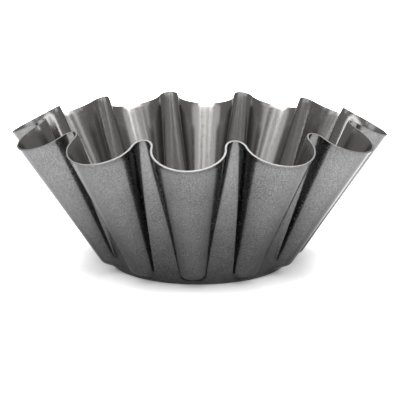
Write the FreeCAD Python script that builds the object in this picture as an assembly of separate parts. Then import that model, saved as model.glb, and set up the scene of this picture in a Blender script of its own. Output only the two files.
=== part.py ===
"""Fluted cake mould with twelve petal-shaped lobes.

Frame: millimetres, +Z up, origin at the centre of the underside, one lobe on each of -Y, +X, +Y and -X.
The mould is one sheet of steel, drawn to shape and trimmed, with a non-stick coat on both faces.
Every surface is the middle surface of the sheet, moved along its own normal by a named distance.
"""
import FreeCAD, Part
import math
import os

os.makedirs("parts", exist_ok=True)
Vector = FreeCAD.Vector

# Overall sizes
across_lobes = 220.0        # outside, from crest to opposite crest
height = 88.5               # table to the rim, at a valley
base_across = 104.8         # outside, across the round underside
lobes = 12

# The sheet and its coats
steel_thickness = 0.8
coat_thickness = 0.1

# The rim, seen from above. Depths are counted inward from a crest.
rim_lobe_depth = 21.23      # to a valley
rim_flank_depth = 16.06     # to the middle of a flank
rim_flank_turn = 0.7655     # flank's place round the mould: 0 on the crest, 1 in the valley
rim_lobe_fullness = 0.50
rim_valley_fullness = 0.55
rim_dip = 11.24             # how far the rim sinks from a valley to a crest

# The lower end of the lobes
toe_overhang = 8.98         # how far a lobe's face stands out past the base
toe_flank_depth = 3.08      # from that face in to the middle of a flank
toe_flank_turn = 0.4842
toe_lobe_fullness = 0.63
toe_valley_fullness = 0.88
toe_height = 6.55           # table to the lowest point of a lobe's face
toe_rise = 1.5              # climb of the lobe's end for each unit that it runs inward

# The round drum below the lobes
drum_height = 3.0
base_round = 1.3            # length cut from each side of the bottom corner
end_round = 0.8             # the same for the corners above and below a lobe's end

# The trimmed band along the rim
band_width = 3.2
band_flare = 0.35           # how far the band leans out over its width
band_curl = 1.5             # 1 would lean it straight; more starts the lean gently

# How finely the surfaces are sampled
around_steps = 14           # for each half flute
run_steps = [0, 3, 5, 8]    # flat, drum, end of the lobe, wall
corner_steps = 6
band_steps = 4
nudge = 0.001

sheet = steel_thickness + 2 * coat_thickness
half_pitch = math.pi / lobes


def polar(radius, angle):
    """Point in plan. The angle is counted from -Y toward +X."""
    return Vector(radius * math.sin(angle), -radius * math.cos(angle), 0)


def quarter(start, corner, end, fullness, t):
    """Cubic curve from start to end that leans into the corner between them."""
    a = start + (corner - start) * fullness
    b = end + (corner - end) * fullness
    s = 1 - t
    return start * s**3 + a * (3 * s * s * t) + b * (3 * s * t * t) + end * t**3


def flute_point(crest_r, valley_r, flank_r, flank_turn, lobe_fullness, valley_fullness, t):
    """Plan point of half a flute: t is 0 on the crest, 1 on the flank and 2 in the valley."""
    crest = Vector(0, -crest_r, 0)
    valley = polar(valley_r, half_pitch)
    outward = polar(1, half_pitch)
    lean = polar(1, half_pitch / 2)
    flank = polar(flank_r, half_pitch * flank_turn)
    if t <= 1:
        corner = flank + lean * ((-crest_r - flank.y) / lean.y)
        return quarter(crest, corner, flank, lobe_fullness, t)
    corner = flank + lean * ((valley_r - flank.dot(outward)) / lean.dot(outward))
    return quarter(flank, corner, valley, valley_fullness, t - 1)


def mirrored(function, t):
    """The half flute serves both sides of a lobe: negative t is its mirror image."""
    point = function(abs(t))
    return Vector(-point.x, point.y, point.z) if t < 0 else point


# Radii that follow from the sizes above; those of a crest and the base are at the middle of the sheet
rim_valley_r = across_lobes / 2 - rim_lobe_depth
rim_flank_r = across_lobes / 2 - rim_flank_depth
toe_crest_r = base_across / 2 + toe_overhang
toe_flank_r = toe_crest_r - toe_flank_depth
crest_lean = math.atan2(across_lobes / 2 - toe_crest_r, height - rim_dip - toe_height)
rim_crest_r = across_lobes / 2 - sheet / 2 * math.cos(crest_lean) - band_flare
base_r = base_across / 2 - sheet / 2
flat_r = base_r - base_round
drum_slope = (rim_valley_r - base_r) / (height - sheet / 2)
toe_valley_r = (base_r + drum_slope * (toe_height + toe_rise * toe_crest_r)) / (1 + drum_slope * toe_rise)
drum_top_r = base_r + drum_slope * (drum_height - sheet / 2)


def rim_point(t):
    """Middle of the sheet along the rim, before the band is leaned out."""
    point = flute_point(rim_crest_r, rim_valley_r, rim_flank_r, rim_flank_turn,
                        rim_lobe_fullness, rim_valley_fullness, t)
    sink = (point.Length - rim_valley_r) / (rim_crest_r - rim_valley_r)
    return point + Vector(0, 0, height - rim_dip * sink)


def toe_point(t):
    """Middle of the sheet along the lower end of a lobe and the valley beside it."""
    point = flute_point(toe_crest_r, toe_valley_r, toe_flank_r, toe_flank_turn,
                        toe_lobe_fullness, toe_valley_fullness, t)
    return point + Vector(0, 0, toe_height + toe_rise * (toe_crest_r - point.Length))


def rounded(corners, trims, steps):
    """Points and directions along a bent line whose corners are rounded off.

    Each trim is the length cut from both sides of a corner, so straight runs stay straight.
    """
    line = []
    start = corners[0]
    for i, trim in enumerate(trims + [0]):
        corner = corners[i + 1]
        run = corner - start
        run.normalize()
        end = corner - run * trim
        line += [(start + (end - start) * (k / steps[i]), run) for k in range(steps[i])]
        if i == len(trims):
            line.append((end, run))
            return line
        turn = corners[i + 2] - corner
        turn.normalize()
        start = corner + turn * trim
        for k in range(corner_steps):
            t = k / corner_steps
            point = end * (1 - t)**2 + corner * (2 * t * (1 - t)) + start * t**2
            line.append((point, (run * (1 - t) + turn * t).normalize()))


def profile(t):
    """Middle of the sheet from the flat underside up to the rim, at one place along the flute."""
    rim = mirrored(rim_point, t)
    toe = mirrored(toe_point, t)
    across = polar(1, half_pitch * t / 2)
    drum = across * drum_top_r + Vector(0, 0, drum_height)
    corner = across * base_r + Vector(0, 0, sheet / 2)
    flat = across * flat_r + Vector(0, 0, sheet / 2)
    band = rim - (rim - toe).normalize() * band_width
    line = rounded([flat, corner, drum, toe, band], [base_round, end_round, end_round], run_steps)
    up = line[-1][1]
    return line + [(band + (rim - band) * (k / band_steps), up) for k in range(1, band_steps + 1)]


def moved(t, distance):
    """The profile at t, moved along the normal of the sheet, outward where distance is positive."""
    line = profile(t)
    before = profile(t - nudge)
    after = profile(t + nudge)
    rows = len(line)
    moved_line = []
    for i, (point, along) in enumerate(line):
        if abs(t) == 2:
            around = polar(1, half_pitch * t / 2 + math.pi / 2)
        else:
            around = after[i][0] - before[i][0]
        outward = around.cross(along).normalize()
        climb = max(0, i - (rows - 1 - band_steps)) / band_steps
        moved_line.append(point + outward * (distance + band_flare * climb**band_curl))
    return moved_line


def spacing(lines):
    """Lengths along a bundle of lines, averaged, as the places that a spline passes them."""
    places = [0.0]
    for i in range(1, len(lines[0])):
        steps = [(line[i] - line[i - 1]).Length for line in lines]
        places.append(places[-1] + sum(steps) / len(steps))
    return places


def spline_through(points, places):
    """Smooth curve that passes each point at its own place."""
    curve = Part.BSplineCurve()
    curve.interpolate(Points=points, Parameters=places)
    return curve


def spline_surface(columns):
    """Spline surface through a grid of points: curves across it, then curves up through their poles."""
    rows = [list(row) for row in zip(*columns)]
    across_places = spacing(rows)
    up_places = spacing(columns)
    across = [spline_through(row, across_places) for row in rows]
    poles = list(zip(*[curve.getPoles() for curve in across]))
    up = [spline_through(list(line), up_places) for line in poles]
    surface = Part.BSplineSurface()
    surface.buildFromPolesMultsKnots([curve.getPoles() for curve in up],
                                     across[0].getMultiplicities(), up[0].getMultiplicities(),
                                     across[0].getKnots(), up[0].getKnots(), False, False, 3, 3)
    return surface


def sector_surface(distance):
    """Spline surface of one lobe with half a valley on each side."""
    columns = [moved(2 * k / around_steps, distance) for k in range(-around_steps, around_steps + 1)]
    return spline_surface(columns)


def all_round(shape):
    """Copies of one sector's shape, turned about the mould's axis."""
    return [shape.rotated(Vector(0, 0, 0), Vector(0, 0, 1), 360 / lobes * k) for k in range(lobes)]


def layer(outer_distance, inner_distance):
    """Closed solid between two distances from the middle of the sheet."""
    faces = []
    rim_edges = []
    for distance in (outer_distance, inner_distance):
        surface = sector_surface(distance)
        low, high = surface.bounds()[2:]
        faces += all_round(surface.toShape())
        disc_edges = all_round(surface.vIso(low).toShape())
        faces.append(Part.Face(Part.Wire(Part.__sortEdges__(disc_edges))))
        rim_edges.append(surface.vIso(high).toShape())
    faces += all_round(Part.makeRuledSurface(*rim_edges))
    shell = Part.makeShell(faces)
    shell.sewShape()
    solid = Part.makeSolid(shell)
    if solid.Volume < 0:
        solid.reverse()
    return solid


nodes = {
    "outer_nonstick_coating": layer(sheet / 2, steel_thickness / 2),
    "steel_shell": layer(steel_thickness / 2, -steel_thickness / 2),
    "inner_nonstick_coating": layer(-steel_thickness / 2, -sheet / 2),
}

for name, solid in nodes.items():
    solid.exportStep("parts/" + name + ".step")
    box = solid.optimalBoundingBox()
    print(name, solid.isValid(), len(solid.Faces), "faces", round(solid.Volume), "mm3",
          "z", round(box.ZMin, 3), "to", round(box.ZMax, 3), "across", round(box.YLength, 3))
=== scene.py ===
# %% [markdown]
# # A fluted cake mould
# This lesson builds one deep cake mould, pressed from a single sheet of steel. It has twelve lobes
# like petals, a wavy rim and a small round base. Both faces of the sheet carry a non-stick coat.
# We start from the CAD model, which fixes the sizes, and give it a finer skin and real finishes.

# %% Load the frame
import bpy
import math
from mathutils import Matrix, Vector


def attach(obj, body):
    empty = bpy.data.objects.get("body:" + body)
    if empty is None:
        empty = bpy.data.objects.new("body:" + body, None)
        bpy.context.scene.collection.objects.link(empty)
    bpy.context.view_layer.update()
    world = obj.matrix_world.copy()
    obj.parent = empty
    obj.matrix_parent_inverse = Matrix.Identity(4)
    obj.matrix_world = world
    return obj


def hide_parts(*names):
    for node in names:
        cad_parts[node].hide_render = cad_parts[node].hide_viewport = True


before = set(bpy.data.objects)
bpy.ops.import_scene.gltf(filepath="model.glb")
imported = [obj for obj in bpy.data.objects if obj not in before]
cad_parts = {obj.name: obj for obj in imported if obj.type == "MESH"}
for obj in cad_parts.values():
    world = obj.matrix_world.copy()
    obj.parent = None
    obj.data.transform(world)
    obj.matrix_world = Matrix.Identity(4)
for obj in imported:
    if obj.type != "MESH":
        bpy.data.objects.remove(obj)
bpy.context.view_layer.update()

# %% [markdown]
# ## Sizes
# A presser first draws the mould seen from above, twice: once along the rim and once along the lobes'
# lower ends (here called toes). The wall is the sheet stretched straight between the two drawings.
# All lengths are in metres. The tree is fed sizes for the middle of the sheet, and the steel and the
# coats are added on both sides of it later.

# %% The driving sizes
MM = 0.001
LOBES = 12
ACROSS = 220.0 * MM
HEIGHT = 88.5 * MM
STEEL = 0.8 * MM
COAT = 0.1 * MM
SHEET = STEEL + 2 * COAT
RADIUS = ACROSS / 2

base_across = 104.8 * MM
base_radius = base_across / 2 - SHEET / 2
rim_dip = 11.24 * MM
rim_lobe_depth = 21.23 * MM
rim_flank_depth = 16.06 * MM
rim_valley = RADIUS - rim_lobe_depth
toe_overhang = 8.98 * MM
toe_flank_depth = 3.08 * MM
toe_crest = base_across / 2 + toe_overhang
toe_height = 6.55 * MM
toe_rise = 1.5
band_flare = 0.35 * MM
crest_lean = math.atan2(RADIUS - toe_crest, HEIGHT - rim_dip - toe_height)
rim_crest = RADIUS - SHEET / 2 * math.cos(crest_lean) - band_flare
drum_slope = (rim_valley - base_radius) / (HEIGHT - SHEET / 2)
drum_height = 3.0 * MM
toe_valley = (base_radius + drum_slope * (toe_height + toe_rise * toe_crest)) / (1 + drum_slope * toe_rise)

SIZES = {
    "Rim crest radius": rim_crest,
    "Rim valley radius": rim_valley,
    "Rim flank radius": RADIUS - rim_flank_depth,
    "Rim flank turn": 0.7655,
    "Rim height": HEIGHT,
    "Rim dip": rim_dip,
    "Toe crest radius": toe_crest,
    "Toe valley radius": toe_valley,
    "Toe flank radius": toe_crest - toe_flank_depth,
    "Toe flank turn": 0.4842,
    "Toe height": toe_height,
    "Toe rise": toe_rise,
    "Drum radius": base_radius + drum_slope * (drum_height - SHEET / 2),
    "Drum height": drum_height,
    "Base radius": base_radius,
    "Base height": SHEET / 2,
    "Base round": 1.3 * MM,
    "End round": 0.8 * MM,
    "Band width": 3.2 * MM,
    "Band flare": band_flare,
}
# How far each bow leans into its corner: on a lobe, then in a valley
RIM_FULLNESS = (0.50, 0.55)
TOE_FULLNESS = (0.63, 0.88)
print("valley radius at the toes, mm:", round(toe_valley / MM, 1))

# %% [markdown]
# ## Nodes that read like a formula
# Geometry Nodes can work out a shape from a rule, but a long rule means many small nodes. These short
# helpers each add one node, wire up what it is fed, and hand back its result, so that the rule can be
# written line by line and still stays a node tree that can be opened and changed.

# %% Helpers that add one node each
def put(tree, kind, *feeds, **settings):
    """Add a node. Each feed is wired in if it is a socket, or set as the value if it is a number."""
    node = tree.nodes.new(kind)
    for name, value in settings.items():
        setattr(node, name, value)
    for place, feed in enumerate(feeds):
        if isinstance(feed, bpy.types.NodeSocket):
            tree.links.new(feed, node.inputs[place])
        elif feed is not None:
            node.inputs[place].default_value = feed
    return node


def number(tree, operation, *feeds):
    return put(tree, "ShaderNodeMath", *feeds, operation=operation).outputs[0]


def vector(tree, operation, *feeds):
    node = put(tree, "ShaderNodeVectorMath", *feeds, operation=operation)
    return node.outputs["Value" if operation in ("DOT_PRODUCT", "LENGTH") else "Vector"]


def stretched(tree, direction, length):
    return vector(tree, "SCALE", direction, None, None, length)


def plus(tree, first, second):
    return vector(tree, "ADD", first, second)


def between(tree, first, second, share):
    """The point that lies the given share of the way from first to second."""
    return put(tree, "ShaderNodeMix", share, None, None, None, first, second,
               data_type="VECTOR", clamp_factor=False).outputs[1]


def point_of(tree, x=0.0, y=0.0, z=0.0):
    return put(tree, "ShaderNodeCombineXYZ", x, y, z).outputs[0]


def compass(tree, angle):
    """Level direction at an angle counted from -Y toward +X."""
    y = number(tree, "MULTIPLY", number(tree, "COSINE", angle), -1.0)
    return point_of(tree, number(tree, "SINE", angle), y)


def switched(tree, kind, index, choices):
    """One of several values, picked by a whole number."""
    node = tree.nodes.new("GeometryNodeIndexSwitch")
    node.data_type = kind
    while len(node.index_switch_items) < len(choices):
        node.index_switch_items.new()
    tree.links.new(index, node.inputs[0])
    for place, choice in enumerate(choices):
        if isinstance(choice, bpy.types.NodeSocket):
            tree.links.new(choice, node.inputs[place + 1])
        else:
            node.inputs[place + 1].default_value = choice
    return node.outputs[0]


def new_tree(name, takes, gives):
    """An empty Geometry Nodes tree with named inputs and outputs."""
    tree = bpy.data.node_groups.new(name, "GeometryNodeTree")
    for title, kind in takes:
        tree.interface.new_socket(title, in_out="INPUT", socket_type="NodeSocket" + kind)
    for title, kind in gives:
        tree.interface.new_socket(title, in_out="OUTPUT", socket_type="NodeSocket" + kind)
    return tree, tree.nodes.new("NodeGroupInput").outputs, tree.nodes.new("NodeGroupOutput").inputs


def grouped(tree, group, feeds):
    """Use a finished tree as one node, fed by name."""
    node = tree.nodes.new("GeometryNodeGroup")
    node.node_tree = group
    for title, feed in feeds.items():
        tree.links.new(feed, node.inputs[title])
    return node.outputs[0]


print("helpers ready")

# %% [markdown]
# ## Half a flute, seen from above
# A lobe and the valley beside it repeat twelve times, and each half mirrors the other, so half a flute
# is all that must be drawn. It is two bows: from the crest round to the middle of the flank, and from
# there round into the valley. Each bow is a curve that leans into a corner. Mixing points by the same
# share again and again (de Casteljau's way) gives such a curve with nothing but Mix nodes.

# %% A bow that leans into a corner
bow, given, result = new_tree("Leaning bow",
                              [("Start", "Vector"), ("Corner", "Vector"), ("End", "Vector"),
                               ("Fullness", "Float"), ("Share", "Float")],
                              [("Point", "Vector")])
share = given["Share"]
handle_a = between(bow, given["Start"], given["Corner"], given["Fullness"])
handle_b = between(bow, given["End"], given["Corner"], given["Fullness"])
first = between(bow, given["Start"], handle_a, share)
middle = between(bow, handle_a, handle_b, share)
last = between(bow, handle_b, given["End"], share)
point = between(bow, between(bow, first, middle, share), between(bow, middle, last, share), share)
bow.links.new(point, result["Point"])
print("nodes in a bow:", len(bow.nodes))

# %% Two bows make half a flute
HALF_FLUTE_INPUTS = ["Crest radius", "Valley radius", "Flank radius", "Flank turn",
                     "Lobe fullness", "Valley fullness", "Half pitch", "Place"]
half_flute, given, result = new_tree("Half flute", [(title, "Float") for title in HALF_FLUTE_INPUTS],
                                     [("Point", "Vector")])
crest = point_of(half_flute, 0.0, number(half_flute, "MULTIPLY", given["Crest radius"], -1.0))
valley_way = compass(half_flute, given["Half pitch"])
valley = stretched(half_flute, valley_way, given["Valley radius"])
lean = compass(half_flute, number(half_flute, "MULTIPLY", given["Half pitch"], 0.5))
flank_way = compass(half_flute, number(half_flute, "MULTIPLY", given["Half pitch"], given["Flank turn"]))
flank = stretched(half_flute, flank_way, given["Flank radius"])


def meets(way, distance):
    """Where the flank's line reaches a given distance along a direction."""
    short = number(half_flute, "SUBTRACT", distance, vector(half_flute, "DOT_PRODUCT", flank, way))
    length = number(half_flute, "DIVIDE", short, vector(half_flute, "DOT_PRODUCT", lean, way))
    return plus(half_flute, flank, stretched(half_flute, lean, length))


ahead = point_of(half_flute, 0.0, -1.0)
lobe_share = put(half_flute, "ShaderNodeClamp", given["Place"], 0.0, 1.0).outputs[0]
valley_share = put(half_flute, "ShaderNodeClamp", number(half_flute, "SUBTRACT", given["Place"], 1.0),
                   0.0, 1.0).outputs[0]
lobe_bow = grouped(half_flute, bow, {"Start": crest, "Corner": meets(ahead, given["Crest radius"]),
                                     "End": flank, "Fullness": given["Lobe fullness"], "Share": lobe_share})
valley_bow = grouped(half_flute, bow, {"Start": flank, "Corner": meets(valley_way, given["Valley radius"]),
                                       "End": valley, "Fullness": given["Valley fullness"],
                                       "Share": valley_share})
in_valley = put(half_flute, "FunctionNodeCompare", given["Place"], 1.0, data_type="FLOAT",
                operation="GREATER_THAN").outputs[0]
half_flute.links.new(put(half_flute, "GeometryNodeSwitch", in_valley, lobe_bow, valley_bow,
                         input_type="VECTOR").outputs[0], result["Point"])
print("nodes in half a flute:", len(half_flute.nodes))

# %% [markdown]
# ## The sheet from the base up to the rim
# Walk up the mould and you meet straight runs with a small round between each two: the flat base, the
# drum, the end of a lobe, the wall and the trimmed band. A straight run is a bow with its corner in the
# middle, so every stretch is made the same way, and a switch picks the stretch that a row belongs to.
# The other way would be to model one lobe by hand and array it, but then no size could be changed later.

# %% Rows up the mould and columns round it
STRETCHES = ["base", "base corner", "drum", "drum corner", "toe", "toe corner", "wall", "band"]
STRETCH_ROWS = [5, 6, 3, 6, 5, 6, 20, 8]
STARTS = [sum(STRETCH_ROWS[:k]) for k in range(len(STRETCH_ROWS))]
ROWS = sum(STRETCH_ROWS) + 1
HALF_STEPS = 20
COLUMNS = LOBES * 2 * HALF_STEPS
HALF_PITCH = math.pi / LOBES
print("rows up:", ROWS, " columns round:", COLUMNS)

# %% The bent sheet as a tree
sheet_tree, given, result = new_tree("Bent sheet", [(title, "Float") for title in SIZES],
                                     [("Geometry", "Geometry")])
t = sheet_tree
grid = put(t, "GeometryNodeMeshGrid", 1.0, 1.0, COLUMNS + 3, ROWS).outputs["Mesh"]
index = put(t, "GeometryNodeInputIndex").outputs[0]
column = number(t, "FLOOR", number(t, "DIVIDE", number(t, "ADD", index, 0.5), float(ROWS)))
row = number(t, "SUBTRACT", index, number(t, "MULTIPLY", column, float(ROWS)))
column = number(t, "SUBTRACT", column, 1.0)
lobe = number(t, "FLOOR", number(t, "DIVIDE", number(t, "ADD", column, HALF_STEPS + 0.5), 2.0 * HALF_STEPS))
step = number(t, "SUBTRACT", column, number(t, "MULTIPLY", lobe, 2.0 * HALF_STEPS))
place = number(t, "DIVIDE", number(t, "MULTIPLY", number(t, "ABSOLUTE", step), 2.0), float(HALF_STEPS))
print("a whole turn has", LOBES, "lobes of", 2 * HALF_STEPS, "columns")

# %% The two drawings seen from above, and the heights they are lifted to
def fixed(value):
    """A Value node, for sockets that take only a wire."""
    node = put(t, "ShaderNodeValue")
    node.outputs[0].default_value = value
    return node.outputs[0]


def plan(level, fullness):
    """Half a flute at the rim or at the toes."""
    lobe_fullness, valley_fullness = fullness
    return grouped(t, half_flute, {
        "Crest radius": given[level + " crest radius"], "Valley radius": given[level + " valley radius"],
        "Flank radius": given[level + " flank radius"], "Flank turn": given[level + " flank turn"],
        "Lobe fullness": fixed(lobe_fullness), "Valley fullness": fixed(valley_fullness),
        "Half pitch": fixed(HALF_PITCH), "Place": place})


rim_plan = plan("Rim", RIM_FULLNESS)
toe_plan = plan("Toe", TOE_FULLNESS)
sink = put(t, "ShaderNodeMapRange", vector(t, "LENGTH", rim_plan), given["Rim valley radius"],
           given["Rim crest radius"], given["Rim height"],
           number(t, "SUBTRACT", given["Rim height"], given["Rim dip"]), clamp=False).outputs[0]
rim = plus(t, rim_plan, point_of(t, 0.0, 0.0, sink))
climb = number(t, "MULTIPLY", given["Toe rise"],
               number(t, "SUBTRACT", given["Toe crest radius"], vector(t, "LENGTH", toe_plan)))
toe = plus(t, toe_plan, point_of(t, 0.0, 0.0, number(t, "ADD", given["Toe height"], climb)))
print("nodes so far:", len(t.nodes))

# %% The corners that the sheet turns at on its way up
way = compass(t, number(t, "MULTIPLY", place, HALF_PITCH / 2))
drum = plus(t, stretched(t, way, given["Drum radius"]), point_of(t, 0.0, 0.0, given["Drum height"]))
middle_of_base = point_of(t, 0.0, 0.0, given["Base height"])
corner = plus(t, stretched(t, way, given["Base radius"]), middle_of_base)
up_wall = vector(t, "NORMALIZE", vector(t, "SUBTRACT", rim, toe))
band = vector(t, "SUBTRACT", rim, stretched(t, up_wall, given["Band width"]))


def cut_back(tip, other, length):
    """The point on the way from a corner to its neighbour where the rounding starts."""
    run = vector(t, "NORMALIZE", vector(t, "SUBTRACT", other, tip))
    return plus(t, tip, stretched(t, run, length))


marks = [middle_of_base]
for tip, below, above, length in ((corner, middle_of_base, drum, given["Base round"]),
                                  (drum, corner, toe, given["End round"]),
                                  (toe, drum, band, given["End round"])):
    marks += [cut_back(tip, below, length), tip, cut_back(tip, above, length)]
marks += [band, rim]
print("marks up the sheet:", len(marks))

# %% Each stretch as a bow: a rounding takes three marks and a straight run takes two
starts, corners, ends = [], [], []
at = 0
for name in STRETCHES:
    is_rounding = name.endswith("corner")
    after = at + (2 if is_rounding else 1)
    starts.append(marks[at])
    ends.append(marks[after])
    corners.append(marks[at + 1] if is_rounding else between(t, marks[at], marks[after], 0.5))
    at = after

stretch = fixed(-1.0)
for start in STARTS:
    passed = put(t, "FunctionNodeCompare", row, start - 0.5, data_type="FLOAT",
                 operation="GREATER_THAN").outputs[0]
    stretch = number(t, "ADD", stretch, passed)
share = number(t, "DIVIDE",
               number(t, "SUBTRACT", row, switched(t, "FLOAT", stretch, [float(k) for k in STARTS])),
               switched(t, "FLOAT", stretch, [float(k) for k in STRETCH_ROWS]))
low, mid, high = (switched(t, "VECTOR", stretch, points) for points in (starts, corners, ends))
spot = between(t, between(t, low, mid, share), between(t, mid, high, share), share)
print("stretches:", len(starts))

# %% Mirror the half flute, turn it to its lobe and bend the grid
side = number(t, "SIGN", step)
spot_x, spot_y, spot_z = put(t, "ShaderNodeSeparateXYZ", spot).outputs
mirrored = point_of(t, number(t, "MULTIPLY", spot_x, side), spot_y, spot_z)
turned = put(t, "ShaderNodeVectorRotate", mirrored, (0, 0, 0), (0, 0, 1),
             number(t, "MULTIPLY", lobe, 2 * HALF_PITCH), rotation_type="Z_AXIS").outputs[0]
bent = put(t, "GeometryNodeSetPosition", grid, None, turned).outputs[0]
t.links.new(bent, result["Geometry"])
print("nodes in the bent sheet:", len(t.nodes))

# %% [markdown]
# ## From one sheet to three closed skins
# The mould's three layers are the same sheet moved by different distances: the steel in the middle and
# a coat on each side. Solidify could thicken it, but each layer must share its faces with the next and
# end in a neat edge on the rim. So a second grid is folded over the rim like paper: up the outside,
# over the edge and down the inside. Each of its points looks up the bent sheet's place and normal.

# %% The folded skin as a tree
EDGE_ROWS = 9
BAND_CURL = 1.5
SQUARENESS = 0.5
WELD = 0.001 * MM
FOLDED_ROWS = 2 * ROWS + EDGE_ROWS
skin, given, result = new_tree("Folded skin",
                               [(title, "Float") for title in SIZES]
                               + [("Outer distance", "Float"), ("Inner distance", "Float"),
                                  ("Edge rise", "Float"), ("Finish", "Material")],
                               [("Geometry", "Geometry")])
t = skin
bent = grouped(t, sheet_tree, {title: given[title] for title in SIZES})
grid = put(t, "GeometryNodeMeshGrid", 1.0, 1.0, COLUMNS + 1, FOLDED_ROWS).outputs["Mesh"]
index = put(t, "GeometryNodeInputIndex").outputs[0]
column = number(t, "FLOOR", number(t, "DIVIDE", number(t, "ADD", index, 0.5), float(FOLDED_ROWS)))
row = number(t, "SUBTRACT", index, number(t, "MULTIPLY", column, float(FOLDED_ROWS)))
turn = number(t, "DIVIDE", number(t, "SUBTRACT", row, float(ROWS - 1)), float(EDGE_ROWS + 1))
turn = put(t, "ShaderNodeClamp", turn, 0.0, 1.0).outputs[0]
angle = number(t, "MULTIPLY", turn, math.pi)
print("rows on the folded grid:", FOLDED_ROWS)


# %% How far each point stands from the middle of the sheet
def squarish(wave):
    """A sine or cosine pushed towards a square, so that the edge is flat with small rounds."""
    size = number(t, "POWER", number(t, "ABSOLUTE", wave), SQUARENESS)
    return number(t, "MULTIPLY", size, number(t, "SIGN", wave))


centre = number(t, "MULTIPLY", number(t, "ADD", given["Outer distance"], given["Inner distance"]), 0.5)
half = number(t, "MULTIPLY", number(t, "SUBTRACT", given["Outer distance"], given["Inner distance"]), 0.5)
distance = number(t, "ADD", centre,
                  number(t, "MULTIPLY", half, squarish(number(t, "COSINE", angle))))
rise = number(t, "MULTIPLY", given["Edge rise"], squarish(number(t, "SINE", angle)))
folded = number(t, "MINIMUM", row, number(t, "SUBTRACT", float(FOLDED_ROWS - 1), row))
sheet_row = number(t, "MINIMUM", folded, float(ROWS - 1))
source = number(t, "ADD", number(t, "MULTIPLY", number(t, "ADD", column, 1.0), float(ROWS)), sheet_row)
print("nodes so far:", len(t.nodes))


# %% Look up the bent sheet, lean the band out and close the skin
def looked_up(value, place):
    return put(t, "GeometryNodeSampleIndex", bent, value, place,
               data_type="FLOAT_VECTOR", domain="POINT", clamp=True).outputs[0]


position = put(t, "GeometryNodeInputPosition").outputs[0]
normal = put(t, "GeometryNodeInputNormal").outputs[0]
spot = looked_up(position, source)
out_way = vector(t, "NORMALIZE", looked_up(normal, source))
below = looked_up(position, number(t, "SUBTRACT", source, 1.0))
up_way = vector(t, "NORMALIZE", vector(t, "SUBTRACT", spot, below))
in_band = put(t, "ShaderNodeMapRange", sheet_row, float(STARTS[-1]), ROWS - 1.0, 0.0, 1.0).outputs[0]
lean_out = number(t, "MULTIPLY", given["Band flare"], number(t, "POWER", in_band, BAND_CURL))
distance = number(t, "ADD", distance, lean_out)
placed = plus(t, plus(t, spot, stretched(t, out_way, distance)), stretched(t, up_way, rise))
folded_skin = put(t, "GeometryNodeSetPosition", grid, None, placed).outputs[0]
closed = put(t, "GeometryNodeMergeByDistance", folded_skin)
closed.inputs["Distance"].default_value = WELD
smooth = put(t, "GeometryNodeSetShadeSmooth", closed.outputs[0])
real = put(t, "GeometryNodeRealizeInstances", smooth.outputs[0])
finished = put(t, "GeometryNodeSetMaterial", real.outputs[0])
t.links.new(given["Finish"], finished.inputs["Material"])
t.links.new(finished.outputs[0], result["Geometry"])
print("nodes in the folded skin:", len(t.nodes))

# %% [markdown]
# ## From a rule to a plain mesh
# A modifier keeps working out its shape for ever, but a finished layer should be an ordinary mesh that
# any program can open. So the rule is run once on an empty object, its result is copied, and the empty
# object is thrown away. Each input is set by its identifier, because its title is only for people.

# %% A helper that runs the tree and keeps a plain mesh
def made(name, material, outer, inner, rise):
    """Run the folded skin for one layer and return it as an ordinary mesh object."""
    blank = bpy.data.objects.new(name + "_rule", bpy.data.meshes.new(name + "_rule"))
    bpy.context.collection.objects.link(blank)
    modifier = blank.modifiers.new("Folded skin", "NODES")
    modifier.node_group = skin
    values = dict(SIZES, **{"Outer distance": outer, "Inner distance": inner,
                            "Edge rise": rise, "Finish": material})
    for item in skin.interface.items_tree:
        if item.in_out == "INPUT" and item.name in values:
            modifier[item.identifier] = values[item.name]
    graph = bpy.context.evaluated_depsgraph_get()
    mesh = bpy.data.meshes.new_from_object(blank.evaluated_get(graph))
    mesh.name = name
    mesh.materials.clear()
    mesh.materials.append(material)
    mesh.polygons.foreach_set("material_index", [0] * len(mesh.polygons))
    piece = bpy.data.objects.new(name, mesh)
    bpy.context.collection.objects.link(piece)
    bpy.data.objects.remove(blank)
    print(name, "faces:", len(mesh.polygons))
    return piece


skin_inputs = [item.name for item in skin.interface.items_tree if item.in_out == "INPUT"]
print("inputs of the folded skin:", len(skin_inputs))

# %% [markdown]
# ## Finishes
# The coat is a thin baked film full of fine metal flakes: dark, a little glossy, and grainy when seen
# close. It is made as a metal with a dark colour, whose brightness and roughness vary from flake to
# flake, with a faint pebbled bump. The rim is the steel itself, where the sheet was cut.

# %% Noise for grain
FLAKE_SCALE = 1500.0
CLOUD_SCALE = 45.0
MOTTLE_SCALE = 900.0


def grain(tree, coordinates, scale, detail):
    return put(tree, "ShaderNodeTexNoise", coordinates, None, scale, detail,
               noise_dimensions="3D").outputs["Fac"]


def ranged(tree, value, low, high, new_low, new_high):
    return put(tree, "ShaderNodeMapRange", value, low, high, new_low, new_high).outputs[0]


print("flakes are about", round(1000 / FLAKE_SCALE, 2), "mm apart")

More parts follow.
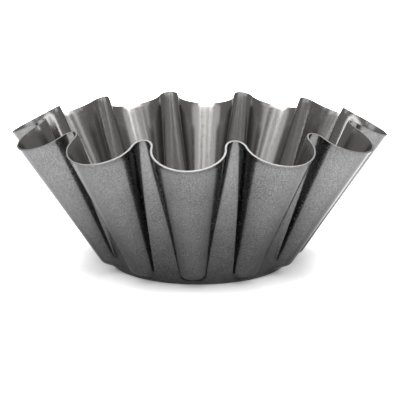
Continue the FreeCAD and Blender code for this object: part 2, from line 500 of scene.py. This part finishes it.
# %% The two coats
def coat_material(name, dark, light, roughness, bump_depth, metal):
    """A dark metal whose colour and roughness change from flake to flake, with a pebbled bump."""
    material = bpy.data.materials.new(name)
    material.use_nodes = True
    tree = material.node_tree
    shader = tree.nodes["Principled BSDF"]
    spot = put(tree, "ShaderNodeTexCoord").outputs["Object"]
    flakes = grain(tree, spot, FLAKE_SCALE, 2.0)
    clouds = grain(tree, spot, CLOUD_SCALE, 3.0)
    shade = number(tree, "ADD", ranged(tree, flakes, 0.3, 0.7, 0.0, 0.8),
                   ranged(tree, clouds, 0.3, 0.7, 0.0, 0.2))
    colour = put(tree, "ShaderNodeMix", shade, None, None, None, None, None, dark, light,
                 data_type="RGBA").outputs[2]
    tree.links.new(colour, shader.inputs["Base Color"])
    tree.links.new(ranged(tree, flakes, 0.3, 0.7, roughness - 0.04, roughness + 0.06),
                   shader.inputs["Roughness"])
    shader.inputs["Metallic"].default_value = metal
    shader.inputs["Specular Tint"].default_value = (0.55, 0.55, 0.55, 1.0)
    pebbles = put(tree, "ShaderNodeBump")
    pebbles.inputs["Strength"].default_value = 0.3
    pebbles.inputs["Distance"].default_value = bump_depth
    tree.links.new(flakes, pebbles.inputs["Height"])
    tree.links.new(pebbles.outputs[0], shader.inputs["Normal"])
    return material


outer_finish = coat_material("charcoal_coat", (0.04, 0.04, 0.041, 1.0), (0.115, 0.115, 0.115, 1.0),
                             0.22, 0.02 * MM, 1.0)
# The inside coat is the outside coat made a little lighter, warmer and less grainy. The extra lightness is
# painted light: it stands in for the brighter light that falls inside the mould.
inner_finish_painted_lighter = coat_material("inner_coat_painted_lighter", (0.075, 0.073, 0.071, 1.0), (0.105, 0.102, 0.099, 1.0),
                             0.20, 0.006 * MM, 0.9)
print("coats:", outer_finish.name, inner_finish_painted_lighter.name)

# %% The bare steel of the cut edge
steel_finish = bpy.data.materials.new("sheared_steel")
steel_finish.use_nodes = True
tree = steel_finish.node_tree
shader = tree.nodes["Principled BSDF"]
spot = put(tree, "ShaderNodeTexCoord").outputs["Object"]
mottle = grain(tree, spot, MOTTLE_SCALE, 3.0)
colour = put(tree, "ShaderNodeMix", mottle, None, None, None, None, None,
             (0.065, 0.064, 0.063, 1.0), (0.09, 0.089, 0.087, 1.0), data_type="RGBA").outputs[2]
tree.links.new(colour, shader.inputs["Base Color"])
tree.links.new(ranged(tree, mottle, 0.3, 0.7, 0.45, 0.6), shader.inputs["Roughness"])
shader.inputs["Metallic"].default_value = 1.0
print("edge:", steel_finish.name)

# %% [markdown]
# ## The three layers
# The mould is one pressing: the steel runs in one piece from the base to the rim, and the coats were
# baked on both sides of it. We make it from the middle of the sheet outward, so that every layer starts
# where the next one stops. The steel stands a little higher at the rim, where the cut leaves it bare.

# %% The three layers
COAT_EDGE_RISE = 0.03 * MM
STEEL_EDGE_RISE = 0.10 * MM
outer_coat = made("charcoal_outer_coat", outer_finish, SHEET / 2, STEEL / 2, COAT_EDGE_RISE)
steel = made("pressed_steel", steel_finish, STEEL / 2, -STEEL / 2, STEEL_EDGE_RISE)
# The inside layer takes the lighter copy of the coat, whose extra lightness is painted light.
inner_coat = made("inner_coat_with_painted_light", inner_finish_painted_lighter, -STEEL / 2, -SHEET / 2, COAT_EDGE_RISE)
for piece, node, slot in ((outer_coat, "outer_nonstick_coating", "outer_coating"),
                          (steel, "steel_shell", "bare_steel"),
                          (inner_coat, "inner_nonstick_coating", "inner_coating")):
    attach(piece, "root")
    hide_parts(node)

# %% [markdown]
# ## A pale floor
# The mould stands on a wide sheet of white paper. It matters more than it seems to: the outside of the
# mould leans over it, so what shines back from the lobes is mostly the floor beneath them, bright at the
# rim and darker towards the base. The sheet is much larger than the view, so its edge is never seen, and
# it lies a hair below the mould, because two faces in exactly the same place flicker in a render.

# %% Floor
REACH = 6.0
FLOOR_HEIGHT = -0.05 * MM
floor_mesh = bpy.data.meshes.new("floor")
floor_mesh.from_pydata([(-REACH, -REACH, FLOOR_HEIGHT), (REACH, -REACH, FLOOR_HEIGHT),
                        (REACH, REACH, FLOOR_HEIGHT), (-REACH, REACH, FLOOR_HEIGHT)], [], [(0, 1, 2, 3)])
floor = bpy.data.objects.new("floor", floor_mesh)
bpy.context.collection.objects.link(floor)
paper = bpy.data.materials.new("white_paper")
paper.use_nodes = True
shader = paper.node_tree.nodes["Principled BSDF"]
shader.inputs["Base Color"].default_value = (0.9, 0.9, 0.9, 1.0)
shader.inputs["Roughness"].default_value = 0.9
floor_mesh.materials.append(paper)
print("floor across, m:", 2 * REACH)

# %% [markdown]
# ## Soft light
# A dark glossy coat shows its light more than its own colour. One strong soft box above lights the floor
# and, through it, the outside. A low card in front reaches in under the lobes. Three weak cards and three
# narrow strips, high in front, are what the inside wall mirrors: they draw the soft upright bands.

# %% The studio's white surroundings
world = bpy.data.worlds.new("studio")
bpy.context.scene.world = world
world.use_nodes = True
background = world.node_tree.nodes["Background"]
background.inputs["Color"].default_value = (1, 1, 1, 1)
background.inputs["Strength"].default_value = 0.8
print("surroundings:", world.name)


# %% Soft boxes, cards and strips
def soft_light(name, place, target, size, power):
    """A rectangular light, turned to face its target: metres and watts."""
    light = bpy.data.lights.new(name, "AREA")
    light.shape = "RECTANGLE"
    light.size, light.size_y = size
    light.energy = power
    lamp = bpy.data.objects.new(name, light)
    bpy.context.collection.objects.link(lamp)
    lamp.location = place
    lamp.rotation_euler = (Vector(target) - Vector(place)).to_track_quat("-Z", "Y").to_euler()


GROUND = (0.0, 0.0, 0.0)
MOULD = (0.0, 0.0, 0.05)
CARD = (0.9, 0.7)
STRIP = (0.12, 0.7)
soft_light("top_box", (0.0, 0.1, 2.0), GROUND, (2.0, 2.0), 214.0)
soft_light("front_card", (0.0, -2.4, 0.6), GROUND, (3.0, 0.6), 60.0)
soft_light("upper_card", (0.0, -0.95, 1.35), MOULD, CARD, 4.0)
soft_light("left_card", (-1.15, -0.45, 1.3), MOULD, CARD, 6.0)
soft_light("right_card", (1.15, -0.45, 1.3), MOULD, CARD, 6.0)
soft_light("middle_strip", (0.14, -0.90, 1.20), MOULD, (0.2, 0.7), 1.5)
soft_light("left_strip", (-0.55, -0.80, 1.20), MOULD, STRIP, 1.5)
soft_light("right_strip", (0.75, -0.75, 1.15), MOULD, STRIP, 1.5)
print("lights:", len(bpy.data.lights))

# %% [markdown]
# ## The camera
# The camera stands in front, a little above the rim, and looks slightly down, so that the front lobes,
# the wavy rim and the inside of the far wall are all seen at once. It is turned a few degrees round the
# mould, because a view from dead ahead looks stiff. A long lens keeps the lobes in proportion.

# %% Camera
VIEW_TURN = math.radians(3.11)
VIEW_RISE = math.radians(9.352)
VIEW_DISTANCE = 0.71458
TILT_DOWN = math.radians(13.418)
TILT_SIDEWAYS = math.radians(0.10)
SWING_RIGHT = math.radians(0.095)
LENS_MM = 110.106
SENSOR_MM = 36.0
camera_data = bpy.data.cameras.new("camera")
camera_data.sensor_width = SENSOR_MM
camera_data.lens = LENS_MM
camera_data.clip_start = 0.01
camera = bpy.data.objects.new("camera", camera_data)
bpy.context.collection.objects.link(camera)
level = VIEW_DISTANCE * math.cos(VIEW_RISE)
camera.location = (level * math.sin(VIEW_TURN), -level * math.cos(VIEW_TURN),
                   HEIGHT + VIEW_DISTANCE * math.sin(VIEW_RISE))
camera.rotation_euler = (math.pi / 2 - TILT_DOWN, TILT_SIDEWAYS, VIEW_TURN - SWING_RIGHT)
bpy.context.scene.camera = camera
bpy.context.scene.view_settings.view_transform = "Standard"
print("camera height, mm:", round(camera.location.z / MM, 1))
